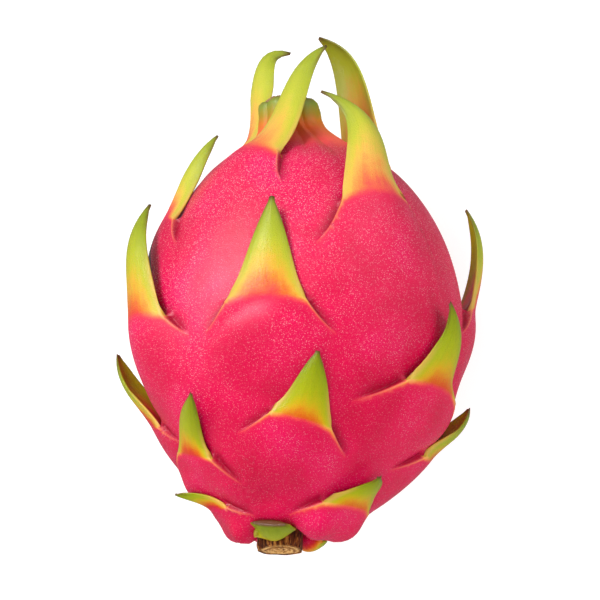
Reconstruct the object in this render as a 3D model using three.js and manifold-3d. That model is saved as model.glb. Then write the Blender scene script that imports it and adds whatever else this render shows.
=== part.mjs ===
// Dragon fruit (pitaya) lying on its side, as picked, with a stub of its woody stem.
//
// Lengths are millimetres and angles are degrees. The fruit's axis runs along Y, with the cut
// stem at -Y and the crown at +Y. A "turn" is the angle round that axis, measured from straight
// up (+Z) and positive towards +X. "Arc" is the distance along the skin from the stem end.
//
// The skin and its bracts grew as one piece, so they are one solid. The woody stem and the
// dried flower scar in the crown are solids of their own.

import * as THREE from 'three';
import { mergeVertices } from 'three/addons/utils/BufferGeometryUtils.js';
import Module from 'manifold-3d';

const wasm = await Module();
wasm.setup();

// ---- driving dimensions -------------------------------------------------------------------

// the skin without its bracts: radius and height along the axis, from the stem to the crown
const skinProfile = [
  [0, -52], [5, -52.6], [9.2, -55.4], [13, -55.9], [17.8, -52.4], [24.8, -45.5], [32.6, -35], [39.3, -23],
  [43.6, -11], [45.4, 1], [44.2, 12], [40.8, 24], [35, 35], [27.2, 44.5], [16.8, 52.2],
  [10.8, 58.2], [9, 62.8], [8.4, 67.4], [5, 68.4], [0, 68.4],
];
// sideways wander of the axis: shift along X at each height
const axisWander = [[-60, -4], [-44, -1.5], [-15, 0], [20, 0.6], [48, 1.2], [60, -2], [70, -3.2]];
const pitShare = 0.08; // share of the profile that lies in the pit round the stem
const skinColumns = 44;
const skinRows = 30;

// a bract's base on the skin: a swelling below it, and a step that runs out along its margins
const swellShare = 0.27; // height, of the bract's half width
const swellLength = 2.6; // length down towards the stem, of the half width
const reachShare = 1.8; // how far out the margins run, of the half width
const dropShare = 0.7; // how far down they run, of the half width
const swellRise = 5; // length over which the skin rises to the swelling under a bract's skirt
const grooveShare = 0.09; // depth of the groove above the step, of the half width
const grooveWidth = 6;

// the skirt, where a bract's margins run out over the skin as thin ridges
const skirtSteps = [1, 0.55];
const skirtThickness = 1.1;
const skirtProud = 0.6;
const skirtLip = 0.1; // extra height of its two margins
const skirtEnd = 6; // length over which it dives into the skin
const seatSetback = 1.6;

// a bract's blade
const bladeRows = 6;
const bladeColumns = 4;
const marginThickness = 0.7;
const ribThickness = 2.6;
const rootSink = 2.2;
const flareShare = 0.34; // part of the base's width that the flare makes
const flareLength = 0.16; // of the blade's length
const usualFull = 1.6; // power that rounds a blade's outline
const fullFlare = 0.11; // a fuller blade flares by more
const tipShare = 0.06; // width left at the tip
const cupAtBase = 0.26; // how far the margins curl in, of the half width
const cupAtTip = 0.56;
const fanEnd = 0.7; // width left at a blunt tip
const startShare = 0.36; // how far the blade keeps to the skin's direction
const bendShare = 0.66; // where it bends towards its tip

// neck of fused bract bases round the flower scar
const neckStart = 50;
const neckFull = 60;
const neckLobes = 7;
const neckLobeDepth = 0.7;
const neckLobePhase = 20;

// knobs and dents of the skin: turn and height of each, its rise and its width
const skinLobes = [
  [-66, -56.5, 4, 3.8], [32, -56, 3.2, 4.5], [86, -55, 3.6, 5.5], [-105, -55, 2.5, 4.5],
  [48, -10.7, -0.9, 7], [42, -46, -1, 6], [-20, -51, -0.8, 5], [14, -51, -0.7, 4],
  [88, -25, 2.8, 12], [-88, -44, 2.6, 6],
];

// folds of skin drawn in round the stem
const foldEnd = 22;
const foldLobes = 5;
const foldDepth = 1.1;
const foldPhase = 35;

// flat spot pressed under the widest part
const flatDepth = 1.3;

// woody stem stub
const stemRadius = 6.2;
const stemSides = 20;
const stemTop = -49;
const stemCut = -61.5;
const stemSlant = 0.5;
const stemX = -5.4;
const barkDepth = 0.35;

// dried flower scar
const scarRadius = 6.9;
const scarRim = 69.3;
const scarDish = 67;
const scarBottom = 65.8;
const scarSides = 20;

const clearance = 0.3;
const sharpEdge = 0.01;

// Bracts on the upper side. base: turn and height; half: half width of the base; tip: turn,
// height and radius. bow: how far the blade bulges outwards, sway: and sideways. lean: turn of
// the whole bract on the skin, roll: of its blade round its own length. reach and drop: of its
// left and right margins. slim under 1 and full over its usual value fill out the blade, fan widens
// it towards a blunt end.
// cup: how far the margins curl in at the base and at the end. stand: from along the skin at 0 to
// straight out of it at 1, without a skirt; start is how far the blade runs before it bends, and
// arc is where on the skin.
const upperBracts = [
  { base: [-104, 50], half: 9.5, tip: [178, 87.7, 12.8], bow: 20, lean: -4, roll: 45, slim: 0.75, full: 2 },
  { base: [-34, 46.5], half: 10, tip: [55, 83, 13], bow: 5, sway: -8, lean: 24, slim: 0.8, full: 2.8,
    reach: [15, 19], drop: [5, 10] },
  { base: [126, 46], half: 11.5, tip: [143, 92, 14.3], bow: 13, sway: -4, stand: 0.35, slim: 0.75, full: 2 },
  { base: [31.5, 28.5], half: 11.5, tip: [22, 64.8, 23], bow: 7, sway: 13, lean: -11, full: 2.8,
    reach: [22, 15], drop: [11, 17] },
  { base: [-12, -2.9], half: 11, tip: [-11, 27.2, 44.5], bow: 2, lean: 3, reach: [19, 20], drop: [7, 7] },
  { base: [-68, -2], half: 12, tip: [-74, 34.4, 44.8], bow: 8, lean: 4, swell: 5, slim: 0.85,
    reach: [18, 20], drop: [6, 5] },
  { base: [-76, 28.3], half: 8.5, tip: [-70, 56, 24], bow: 4, lean: 4, roll: 20, slim: 0.9, full: 2.6,
    reach: [16, 16], drop: [6, 8] },
  { base: [103, 6], half: 10.5, tip: [103, 40, 47], bow: 7, roll: -5, swell: 4.6, stand: 0.3, full: 2 },
  { base: [61, -21], half: 12, tip: [54.5, 1.3, 50], bow: 3, sway: 7, full: 2.2, reach: [26, 22], drop: [7, 7] },
  { base: [2, -33], half: 8.6, tip: [6, -17, 46.4], bow: 2, lean: 16, reach: [17, 17], drop: [7, 5] },
  { base: [-62, -37.8], half: 7.2, tip: [-41.5, -25.3, 44], bow: 2, lean: 23, full: 2.4,
    reach: [17, 16], drop: [7, 6] },
  { base: [-101, -27], half: 10, tip: [-103, -2.2, 53], bow: 4.5, roll: -18, swell: 2.8, slim: 0.8, full: 2.4 },
  { base: [99, -35], half: 10.5, tip: [102, -18.4, 48.5], bow: 4, roll: 20, swell: 3.2, slim: 0.8, full: 2.2 },
  { base: [55, -51], half: 9.5, tip: [44.5, -46.3, 33.2], sway: 3, lean: -4, swell: 2.6, slim: 1.4,
    reach: [17, 13], drop: [1.5, 4] },
  { base: [-80, -51], half: 6.5, tip: [-82, -46.6, 33], reach: [13, 13], drop: [5, 5] },
  { base: [-34], arc: 9.5, half: 3.2, tip: [-18.5, -57.7, 16], bow: 5.6, fan: 1.8, swell: 0,
    start: 0.9, stand: 1, cup: [1.25, 0.1] },
  { base: [140], arc: 9.5, half: 3.2, tip: [143, -58, 13.5], bow: 5, fan: 1.3, swell: 0,
    start: 0.9, stand: 1, cup: [0.9, 0.3] },
];

// The spiral goes on round the underside, where the bracts lie closer to the skin.
const lowerRings = [
  { height: -54, half: 7, length: 15, stand: 3, turns: [187] },
  { height: -38, half: 9.5, length: 20, stand: 3, turns: [148, 208] },
  { height: -15, half: 10.5, length: 26, stand: 3.2, turns: [138, 222] },
  { height: 9, half: 10.5, length: 27, stand: 4, turns: [-118] },
  { height: 24, half: 10.5, length: 27, stand: 4.5, turns: [145, 198] },
  { height: 47, half: 9, length: 23, stand: 5, turns: [188] },
];
const lowerBow = 1.5;
const turnScatter = 5;
const heightScatter = 2;
const scatterSeed = 11;

// ---- skin -----------------------------------------------------------------------------------

const deg = THREE.MathUtils.degToRad;
const clamp = THREE.MathUtils.clamp;
const smoothstep = THREE.MathUtils.smoothstep;
const lerp = THREE.MathUtils.lerp;

const profile = new THREE.SplineCurve(skinProfile.map(([r, y]) => new THREE.Vector2(r, y)));
profile.arcLengthDivisions = 2000;
const skinLength = profile.getLength();
const wander = new THREE.SplineCurve(axisWander.map(([y, x]) => new THREE.Vector2(y, x)));
const wanderTable = wander.getPoints(400);

function axisShift(y) {
  const after = wanderTable.findIndex((p) => p.x >= y);
  if (after <= 0) return after === 0 ? wanderTable[0].y : wanderTable[wanderTable.length - 1].y;
  const a = wanderTable[after - 1];
  const b = wanderTable[after];
  return lerp(a.y, b.y, (y - a.x) / (b.x - a.x));
}

function arcAtHeight(y) {
  let low = pitShare;
  let high = 0.96;
  for (let i = 0; i < 40; i++) {
    const mid = (low + high) / 2;
    if (profile.getPointAt(mid).y < y) low = mid;
    else high = mid;
  }
  return low * skinLength;
}

function wrapTurn(turn) {
  return THREE.MathUtils.euclideanModulo(turn + 180, 360) - 180;
}

// height of the skin above its plain profile
function relief(turn, arc, radius, y, seats, edge) {
  let rise = 0;
  for (const seat of seats) {
    const turned = deg(wrapTurn(turn - seat.turn)) * (radius + seat.radius) / 2;
    const along = arc - seat.arc;
    const across = turned * Math.cos(seat.lean) - along * Math.sin(seat.lean);
    const up = along * Math.cos(seat.lean) + turned * Math.sin(seat.lean);
    const hand = across < 0 ? 0 : 1;
    const out = Math.abs(across);
    if (out > seat.reach[hand] || Math.abs(up) > seat.half * 5) continue;
    const side = (1 - (out / seat.reach[hand]) ** 2) ** 2;
    const flare = clamp((out - seat.half) / (seat.reach[hand] - seat.half), 0, 1);
    const below = -flare * (2 - flare) * seat.drop[hand] - up;
    const fade = 1 - smoothstep(below, 0, seat.half * swellLength);
    rise += seat.swell * side * fade * smoothstep(below, 0, edge);
    if (below < 0) rise -= seat.half * grooveShare * side * Math.exp(-((below / grooveWidth) ** 2));
  }
  for (const [lobeTurn, height, lobeRise, width] of skinLobes) {
    const away = Math.hypot(deg(wrapTurn(turn - lobeTurn)) * radius, arc - arcAtHeight(height));
    rise += lobeRise * Math.exp(-((away / width) ** 2));
  }
  const neck = smoothstep(y, neckStart, neckFull);
  rise += neck * neckLobeDepth * Math.cos(neckLobes * deg(turn - neckLobePhase));
  if (y < 0) {
    const fold = 1 - smoothstep(radius, 0, foldEnd);
    rise += fold * foldDepth * Math.sin(foldLobes * deg(turn + foldPhase));
  }
  return rise;
}

function skinPoint(turn, arc, lift, seats, edge = swellRise) {
  const share = clamp(arc / skinLength, 0, 1);
  const at = profile.getPointAt(share);
  const tangent = profile.getTangentAt(share);
  const rise = at.x > 0.01 ? relief(turn, arc, at.x, at.y, seats, edge) : 0;
  const radius = at.x + tangent.y * (rise + lift);
  const y = at.y - tangent.x * (rise + lift);
  return new THREE.Vector3(radius * Math.sin(deg(turn)) + axisShift(at.y), y, radius * Math.cos(deg(turn)));
}

function skinGeometry(seats) {
  const outline = profile.getSpacedPoints(skinRows);
  outline[0].x = 0;
  outline[skinRows].x = 0;
  const geometry = new THREE.LatheGeometry(outline, skinColumns);
  const position = geometry.getAttribute('position');
  for (let i = 0; i < position.count; i++) {
    const row = i % (skinRows + 1);
    const turn = Math.floor(i / (skinRows + 1)) / skinColumns * 360;
    const at = skinPoint(turn, row / skinRows * skinLength, 0, seats);
    position.setXYZ(i, at.x, at.y, at.z);
  }
  return geometry;
}

// ---- bracts ---------------------------------------------------------------------------------

function randomFrom(seed) {
  let state = seed;
  return () => {
    state = (state * 1103515245 + 12345) % 2147483648;
    return state / 2147483648;
  };
}

function cylindrical([turn, y, radius]) {
  return new THREE.Vector3(radius * Math.sin(deg(turn)) + axisShift(y), y, radius * Math.cos(deg(turn)));
}

function lowerBracts() {
  const random = randomFrom(scatterSeed);
  const list = [];
  for (const ring of lowerRings) {
    for (const middle of ring.turns) {
      const turn = wrapTurn(middle + (random() - 0.5) * 2 * turnScatter);
      const height = ring.height + (random() - 0.5) * 2 * heightScatter;
      const tipArc = arcAtHeight(height) + ring.length;
      const end = profile.getPointAt(tipArc / skinLength);
      const tangent = profile.getTangentAt(tipArc / skinLength);
      list.push({
        base: [turn, height],
        half: ring.half,
        tip: [turn + (random() - 0.5) * 8, end.y - tangent.x * ring.stand, end.x + tangent.y * ring.stand],
        bow: lowerBow,
      });
    }
  }
  return list;
}

function seatOf(bract) {
  const arc = bract.arc ?? arcAtHeight(bract.base[1]);
  const { half } = bract;
  return {
    turn: bract.base[0],
    arc,
    radius: profile.getPointAt(arc / skinLength).x,
    half,
    lean: deg(bract.lean ?? 0),
    swell: bract.swell ?? half * swellShare,
    reach: bract.reach ?? [half * reachShare, half * reachShare],
    drop: bract.drop ?? [half * dropShare, half * dropShare],
  };
}

// share of the base's half width at a share of the blade's length
function bladeOutline(share, { slim = 1, full = usualFull, fan }) {
  if (fan) return lerp(1, fan, Math.sin(share * Math.PI / 2)) * (share < 1 ? 1 : fanEnd);
  const flared = flareShare + fullFlare * (full - usualFull);
  const flare = flared * Math.exp(-share / flareLength);
  return Math.max((flare + (1 - flared) * (1 - share ** full) ** 0.9) ** slim, tipShare);
}

// a point of a bract's skirt: q runs from its left margin to its right, reach from base to end
function skirtPoint(seat, q, reach, back, lift, seats) {
  const hand = q < 0 ? 0 : 1;
  const across = q * lerp(seat.half, seat.reach[hand], reach);
  const drop = lerp(seat.drop[0], seat.drop[1], (q + 1) / 2);
  const up = -drop * reach * (2 - reach) - seatSetback - back;
  const turned = across * Math.cos(seat.lean) + up * Math.sin(seat.lean);
  const arc = Math.max(seat.arc + up * Math.cos(seat.lean) - across * Math.sin(seat.lean), 0.5);
  const radius = profile.getPointAt(arc / skinLength).x;
  const turn = seat.turn + THREE.MathUtils.radToDeg(turned * 2 / (seat.radius + radius));
  return skinPoint(turn, arc, lift, seats, sharpEdge);
}

function skirtRing(seat, reach, back, lift, seats) {
  const ring = [];
  for (let face = 0; face < 2; face++) {
    for (let column = 0; column <= bladeColumns; column++) {
      const q = (face ? bladeColumns - column : column) / bladeColumns * 2 - 1;
      const sunk = face ? skirtThickness + (1 - q * q) * rootSink : 0;
      ring.push(skirtPoint(seat, q, reach, back, lift * q * q + skirtProud - sunk, seats));
    }
  }
  return ring;
}

function bladeRings(bract, seat, seats) {
  const arc = seat.arc - seatSetback;
  const base = skinPoint(seat.turn, arc, -ribThickness / 2, seats, sharpEdge);
  const plain = skinPoint(seat.turn, arc, 0, []);
  const outward = skinPoint(seat.turn, arc, 1, []).sub(plain).normalize();
  const forward = skinPoint(seat.turn, arc + 1, 0, []).sub(plain).normalize();
  const across = new THREE.Vector3().crossVectors(forward, outward).normalize();
  forward.applyAxisAngle(outward, -seat.lean);
  across.applyAxisAngle(outward, -seat.lean);
  const heading = forward.clone().lerp(outward, bract.stand ?? 0).normalize();

  const tip = cylindrical(bract.tip);
  const start = base.clone().addScaledVector(heading, tip.distanceTo(base) * (bract.start ?? startShare));
  const bend = base.clone().lerp(tip, bendShare)
    .addScaledVector(outward, bract.bow ?? 0)
    .addScaledVector(across, bract.sway ?? 0);
  const spine = new THREE.CubicBezierCurve3(base, start, bend, tip);

  const rings = [];
  for (let row = 0; row <= bladeRows; row++) {
    const share = row / bladeRows;
    const centre = spine.getPoint(share);
    const tangent = spine.getTangent(share);
    const side = across.clone().addScaledVector(tangent, -across.dot(tangent)).normalize();
    side.applyAxisAngle(tangent, deg(bract.roll ?? 0) * Math.min(1, share * 2));
    const normal = new THREE.Vector3().crossVectors(side, tangent).normalize();
    const half = bract.half * bladeOutline(share, bract);
    const rib = lerp(ribThickness, marginThickness, share ** 0.8);
    const cup = half * lerp(...(bract.cup ?? [cupAtBase, cupAtTip]), share);
    const ring = [];
    for (let face = 0; face < 2; face++) {
      for (let column = 0; column <= bladeColumns; column++) {
        const q = (face ? bladeColumns - column : column) / bladeColumns * 2 - 1;
        const thickness = lerp(rib, marginThickness, q * q);
        const height = rib / 2 - cup * q * q - (face ? thickness : 0);
        ring.push(centre.clone().addScaledVector(side, q * half).addScaledVector(normal, height));
      }
    }
    rings.push(ring);
  }
  return rings;
}

// closed solid through rings of points, split into triangles alike on its two faces
function bractGeometry(bract, seat, seats) {
  const rings = bladeRings(bract, seat, seats);
  if (bract.stand !== 1) {
    const skirt = skirtSteps.map((reach) => skirtRing(seat, reach, 0, skirtLip, seats));
    rings.unshift(skirtRing(seat, 1, skirtEnd, -skirtLip, seats), ...skirt);
  }
  const size = rings[0].length;
  const last = (rings.length - 1) * size;
  const index = [];
  for (let ring = 0; ring < rings.length - 1; ring++) {
    for (let i = 0; i < size; i++) {
      const a = ring * size + i;
      const b = ring * size + (i + 1) % size;
      if (i < bladeColumns) index.push(a, b, b + size, a, b + size, a + size);
      else index.push(a, b, a + size, b, b + size, a + size);
    }
  }
  for (let i = 0; i < bladeColumns; i++) {
    const [a, b, c, d] = [i, i + 1, size - 2 - i, size - 1 - i];
    index.push(a, c, b, a, d, c);
    index.push(last + a, last + b, last + c, last + a, last + c, last + d);
  }
  const geometry = new THREE.BufferGeometry().setFromPoints(rings.flat());
  geometry.setIndex(index);
  return geometry;
}

// ---- solids ---------------------------------------------------------------------------------

function toSolid(geometry) {
  let plain = geometry.clone();
  plain.deleteAttribute('normal');
  plain.deleteAttribute('uv');
  plain = mergeVertices(plain, 1e-4);
  const kept = [];
  const index = plain.index.array;
  for (let i = 0; i < index.length; i += 3) {
    const [a, b, c] = [index[i], index[i + 1], index[i + 2]];
    if (a !== b && b !== c && c !== a) kept.push(a, b, c);
  }
  return new wasm.Manifold(new wasm.Mesh({
    numProp: 3,
    vertProperties: new Float32Array(plain.getAttribute('position').array),
    triVerts: new Uint32Array(kept),
  }));
}

function toGeometry(solid) {
  const mesh = solid.getMesh();
  const geometry = new THREE.BufferGeometry();
  geometry.setAttribute('position', new THREE.BufferAttribute(new Float32Array(mesh.vertProperties), 3));
  geometry.setIndex(new THREE.BufferAttribute(new Uint32Array(mesh.triVerts), 1));
  geometry.computeVertexNormals();
  return geometry;
}

// a turned post along Y with a slanted lower end and bark of shallow, uneven ribs
function stemGeometry(extra) {
  const geometry = new THREE.CylinderGeometry(stemRadius + extra, stemRadius + extra, stemTop - stemCut, stemSides, 3);
  const position = geometry.getAttribute('position');
  for (let i = 0; i < position.count; i++) {
    const [x, y, z] = [position.getX(i), position.getY(i), position.getZ(i)];
    const angle = Math.atan2(x, z);
    const bark = 1 + barkDepth / stemRadius * (Math.sin(angle * 3 + 1) + 0.6 * Math.sin(angle * 7));
    const down = 0.5 - y / (stemTop - stemCut);
    const slanted = y - down * z * Math.tan(deg(stemSlant)) - down * extra + (1 - down) * extra;
    position.setXYZ(i, x * bark + stemX, slanted + (stemTop + stemCut) / 2, z * bark);
  }
  return geometry;
}

function scarGeometry() {
  const outline = [
    [0, scarBottom], [scarRadius, scarBottom], [scarRadius, scarRim - 0.6],
    [scarRadius - 0.8, scarRim], [scarRadius - 2, scarRim - 0.9], [2.6, scarDish], [0, scarDish + 0.4],
  ];
  const geometry = new THREE.LatheGeometry(outline.map(([r, y]) => new THREE.Vector2(r, y)), scarSides);
  return geometry.translate(axisShift(scarRim), 0, 0);
}

// the round seat of the scar, open towards the crown
function scarSeatGeometry() {
  const radius = scarRadius + clearance;
  const depth = 10;
  const geometry = new THREE.CylinderGeometry(radius, radius, depth, scarSides);
  return geometry.translate(axisShift(scarRim), scarBottom - clearance + depth / 2, 0);
}

const bracts = [...upperBracts, ...lowerBracts()];
const seats = bracts.map(seatOf);
let fruit = toSolid(skinGeometry(seats));
bracts.forEach((bract, i) => {
  fruit = fruit.add(toSolid(bractGeometry(bract, seats[i], seats)));
});

const floorZ = flatDepth - Math.max(...skinProfile.map(([r]) => r));
const under = new THREE.BoxGeometry(300, 300, 60).translate(0, 0, floorZ - 30);
fruit = fruit.subtract(toSolid(under));
fruit = fruit.subtract(toSolid(stemGeometry(clearance)));
fruit = fruit.subtract(toSolid(scarSeatGeometry()));
// a scrap left where two blades cross is dropped
[fruit] = fruit.decompose().sort((a, b) => b.volume() - a.volume());

const group = new THREE.Group();

function addPiece(name, geometry, color, roughness) {
  const material = new THREE.MeshStandardMaterial({ color, roughness, metalness: 0 });
  const mesh = new THREE.Mesh(geometry, material);
  mesh.name = name;
  group.add(mesh);
}

addPiece('fruit', toGeometry(fruit), 0xe8285c, 0.42);
addPiece('stem_stub', stemGeometry(0), 0x6b3a16, 0.85);
addPiece('flower_scar', scarGeometry(), 0xb08a55, 0.9);

// the origin is under the middle of the part, on the surface that it lies on
const box = new THREE.Box3().setFromObject(group);
const middle = box.getCenter(new THREE.Vector3());
group.position.set(-middle.x, -middle.y, -box.min.z);

export default group;
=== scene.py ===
import math

import bmesh
import bpy
import numpy as np
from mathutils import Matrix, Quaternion, Vector, noise


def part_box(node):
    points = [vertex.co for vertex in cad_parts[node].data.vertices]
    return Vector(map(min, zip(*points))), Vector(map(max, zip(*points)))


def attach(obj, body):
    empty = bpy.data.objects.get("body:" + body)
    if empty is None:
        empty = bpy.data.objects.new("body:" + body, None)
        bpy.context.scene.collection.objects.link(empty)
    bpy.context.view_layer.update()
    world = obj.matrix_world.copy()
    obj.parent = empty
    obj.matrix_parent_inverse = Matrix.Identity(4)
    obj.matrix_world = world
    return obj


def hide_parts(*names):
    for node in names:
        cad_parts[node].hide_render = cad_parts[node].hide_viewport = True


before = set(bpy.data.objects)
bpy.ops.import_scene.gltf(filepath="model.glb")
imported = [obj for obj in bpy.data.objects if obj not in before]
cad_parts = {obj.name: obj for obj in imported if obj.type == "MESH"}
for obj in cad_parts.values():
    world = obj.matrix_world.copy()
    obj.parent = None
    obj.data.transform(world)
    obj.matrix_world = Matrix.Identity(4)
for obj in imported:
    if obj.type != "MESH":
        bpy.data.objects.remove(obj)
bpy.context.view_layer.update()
mm = 0.001


def linearColour(text):
    values = []
    for i in (1, 3, 5):
        share = int(text[i:i + 2], 16) / 255
        values.append(share / 12.92 if share <= 0.04045 else ((share + 0.055) / 1.055) ** 2.4)
    return (*values, 1.0)


def smoothStep(x, low, high):
    t = np.clip((x - low) / (high - low), 0, 1)
    return t * t * (3 - 2 * t)


def bell(x, middle, width):
    return np.exp(-((x - middle) / width) ** 2)


def wrapTurn(turn):
    return (turn + 180) % 360 - 180


def mix(a, b, share):
    return a + (b - a) * share


# settings and values that many nodes share
rgba = {"data_type": "RGBA"}
add = {"operation": "ADD"}
multiply = {"operation": "MULTIPLY"}
scaleAdd = {"operation": "MULTIPLY_ADD"}
smooth = {"interpolation_type": "SMOOTHSTEP"}


def span(low, high, toLow=0.0, toHigh=1.0):
    return {"From Min": low, "From Max": high, "To Min": toLow, "To Max": toHigh}


# adds a node with its settings, values, links and colour stops, and gives back one of its outputs
def addNode(tree, kind, settings=None, values=None, links=None, stops=None, output=0):
    node = tree.nodes.new("ShaderNode" + kind)
    for name, value in (settings or {}).items():
        setattr(node, name, value)
    for name, value in (values or {}).items():
        node.inputs[name].default_value = value
    for name, source in (links or {}).items():
        tree.links.new(source, node.inputs[name])
    if stops:
        ramp = node.color_ramp
        while len(ramp.elements) < len(stops):
            ramp.elements.new(1.0)
        for element, (place, colour) in zip(ramp.elements, stops):
            element.position = place
            element.color = linearColour(colour)
    return node.outputs[output] if node.outputs else None


def newMaterial(name):
    material = bpy.data.materials.new(name)
    material.use_nodes = True
    material.node_tree.nodes.clear()
    return material, material.node_tree


# turns an outline round the Y axis: each point is its radius, its height and its marks' values
def turnOutline(bm, outline, columns, marks=()):
    layers = bm.verts.layers.float
    previous = None
    for radius, y, *values in outline:
        vert = bm.verts.new((0, y, radius))
        for mark, value in zip(marks, values):
            vert[layers[mark]] = value
        if previous:
            bm.edges.new((previous, vert))
        previous = vert
    bmesh.ops.spin(bm, geom=bm.verts[:] + bm.edges[:], cent=(0, 0, 0), axis=(0, 1, 0), angle=2 * math.pi,
                   steps=columns, use_merge=True)


def closeSurface(bm, shortest=0.0):
    bmesh.ops.remove_doubles(bm, verts=bm.verts[:], dist=0.0005)
    if shortest:
        bmesh.ops.dissolve_degenerate(bm, dist=shortest, edges=bm.edges[:])
    bmesh.ops.recalc_face_normals(bm, faces=bm.faces[:])


def smoothVerts(bm, verts, passes):
    for _ in range(passes):
        bmesh.ops.smooth_vert(bm, verts=verts, factor=0.5, use_axis_x=True, use_axis_y=True, use_axis_z=True)


# from the fruit's own axis to its place in the model
def fromFruit():
    low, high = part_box("flower_scar")
    middle = (low + high) / 2
    return Vector((middle.x / mm - float(axisShift(scar["rim"])), high.y / mm - scar["rim"], middle.z / mm))


def addObject(bm, name, material):
    mesh = bpy.data.meshes.new(name)
    bm.to_mesh(mesh)
    bm.free()
    mesh.materials.append(material)
    thing = bpy.data.objects.new(name, mesh)
    bpy.context.scene.collection.objects.link(thing)
    return thing


def finishPiece(bm, name, material, node):
    bmesh.ops.scale(bm, verts=bm.verts[:], vec=(mm, mm, mm))
    piece = addObject(bm, name, material)
    piece.data.shade_smooth()
    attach(piece, "root")
    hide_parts(node)
    print(name, "finished:", len(piece.data.polygons), "faces")


# the plain body, in millimetres, with the stem at -Y and the crown at +Y
skin = {
    "profile": [   # radius and height
        (0, -52), (5, -52.6), (9.2, -55.4), (13, -55.9), (17.8, -52.4), (24.8, -45.5), (32.6, -35),
        (39.3, -23), (43.6, -11), (45.4, 1), (44.2, 12), (40.8, 24), (35, 35), (27.2, 44.5), (16.8, 52.2),
        (10.8, 58.2), (9, 62.8), (8.4, 67.4), (5, 68.4), (0, 68.4)],
    "wander": [   # height, and how far the axis bends along X there
        (-60, -4), (-44, -1.5), (-15, 0), (20, 0.6), (48, 1.2), (60, -2), (70, -3.2)],
    "columns": 240, "rows": 170,
    # under each bract the skin swells, and a ridge runs out from its margins: shares of its half width
    "swellShare": 0.3, "swellLength": 2.6, "reachShare": 1.8, "dropShare": 0.7, "nearShare": 5,
    "ridgeBend": 1.5, "ridgePower": 1.5,
    "stepRun": 0.9, "lipHeight": 0.12, "lipWidth": 0.6,
    "overhang": 0.7, "overhangLength": 3.5,
    "grooveShare": 0.13, "grooveWidth": 6,
    "foldBelow": (1.5, 4.5), "foldShare": 1.2, "foldWidth": 1.6,   # a soft fold round the foot of some bracts
    "neckStart": 38, "neckFull": 60, "neckSeams": [-165, -110, -55, 1, 20, 84, 140],
    "lobeHeight": 1.5, "lobeWidth": 2.4, "lobeSunk": 0.6,
    "lobes": [   # knobs and dents: turn and height on the skin, rise, width
        (-66, -56.5, 4.0, 3.8), (32, -56, 3.2, 4.5), (86, -55, 3.6, 5.5), (-105, -55, 2.5, 4.5),
        (48, -10.7, -0.9, 7), (42, -46, -1.0, 6), (-20, -51, -0.8, 5), (14, -51, -0.7, 4),
        (88, -25, 2.8, 12), (-88, -44, 2.6, 6)],
    "pleatEnd": 22, "pleats": 5, "pleatDepth": 1.1, "pleatPhase": 35,   # the skin is drawn in round the stem
    "flatSoftness": 0.3,   # how softly the flat spot that the fruit rests on runs out
}

# how the bracts' colours run out over the skin below them, and the skin's other marks, among them painted
# shade in the hollows beside the ridges
tint = {
    "fadeLength": 10.5,
    "marginFade": 1.1, "marginPower": 3,
    "ridgeFade": (0.1, 0.6), "ridgeStart": 1.1,
    "blushEnd": 0.3, "top": -0.6,   # above the top the skin stays pink
    "rimBelow": 0.55, "rimWidth": 0.3, "rimStart": 0.9,
    # where the painted shade lies: the hollow just behind each ridge's crest
    "hollowBelow": -0.6, "hollowWidth": 2.4, "hollowEnd": 0.5,
    "bruise": {"turns": (-67, -80), "heights": (5, 24), "width": 3.5, "core": 0.4},
    "wrinkles": {"turn": -36, "arc": 30, "width": (5, 14), "pit": (10, 26)},
}

blade = {
    "rows": 22, "rowPower": 1.2, "setback": 0.5,
    "marginThickness": 0.7, "ribThickness": 2.6, "thinPower": 0.8, "thickLimit": 1.4,
    "flareShare": 0.34, "flareLength": 0.16, "full": 1.6, "fullFlare": 0.11, "bodyPower": 0.9,
    "tipShare": 0.05, "tipStart": 0.85, "tipThin": 0.5,
    "cupAtBase": 0.26, "cupAtTip": 0.56,
    "fanEnd": 0.8, "fanThickness": (2.2, 1.0),   # the two broad flaps beside the stem
    "startShare": 0.36, "bendShare": 0.66, "rollEnd": 0.5,
    "blendShare": 0.14, "blendSooner": 0.4,
    "blockRows": 3, "blockWide": (10, 30),
    "joinShare": 0.14, "joinPasses": 6, "joinWidth": 0.85,   # the skin runs smoothly into the blade
    "endPinch": 0.6, "pinchStart": 0.6, "softRings": 8, "softHollow": 0.1,
    "ripe": (0.05, 0.45), "marginRise": 0.5, "marginPower": 3, "marginStart": 0.84,
    # hollowEnd: how far up a blade's inner face the painted shade at its foot reaches
    "rimEnd": (0.1, 0.6), "rimAmount": 0.8, "hollowEnd": 0.15,
    "dryTip": 0.93, "dryMargin": 0.6, "dryMarginMost": 0.6, "dryFan": 0.99,
    "deepHeights": (-16, 20),   # from the deep green bracts by the stem to the light ones
}

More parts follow.
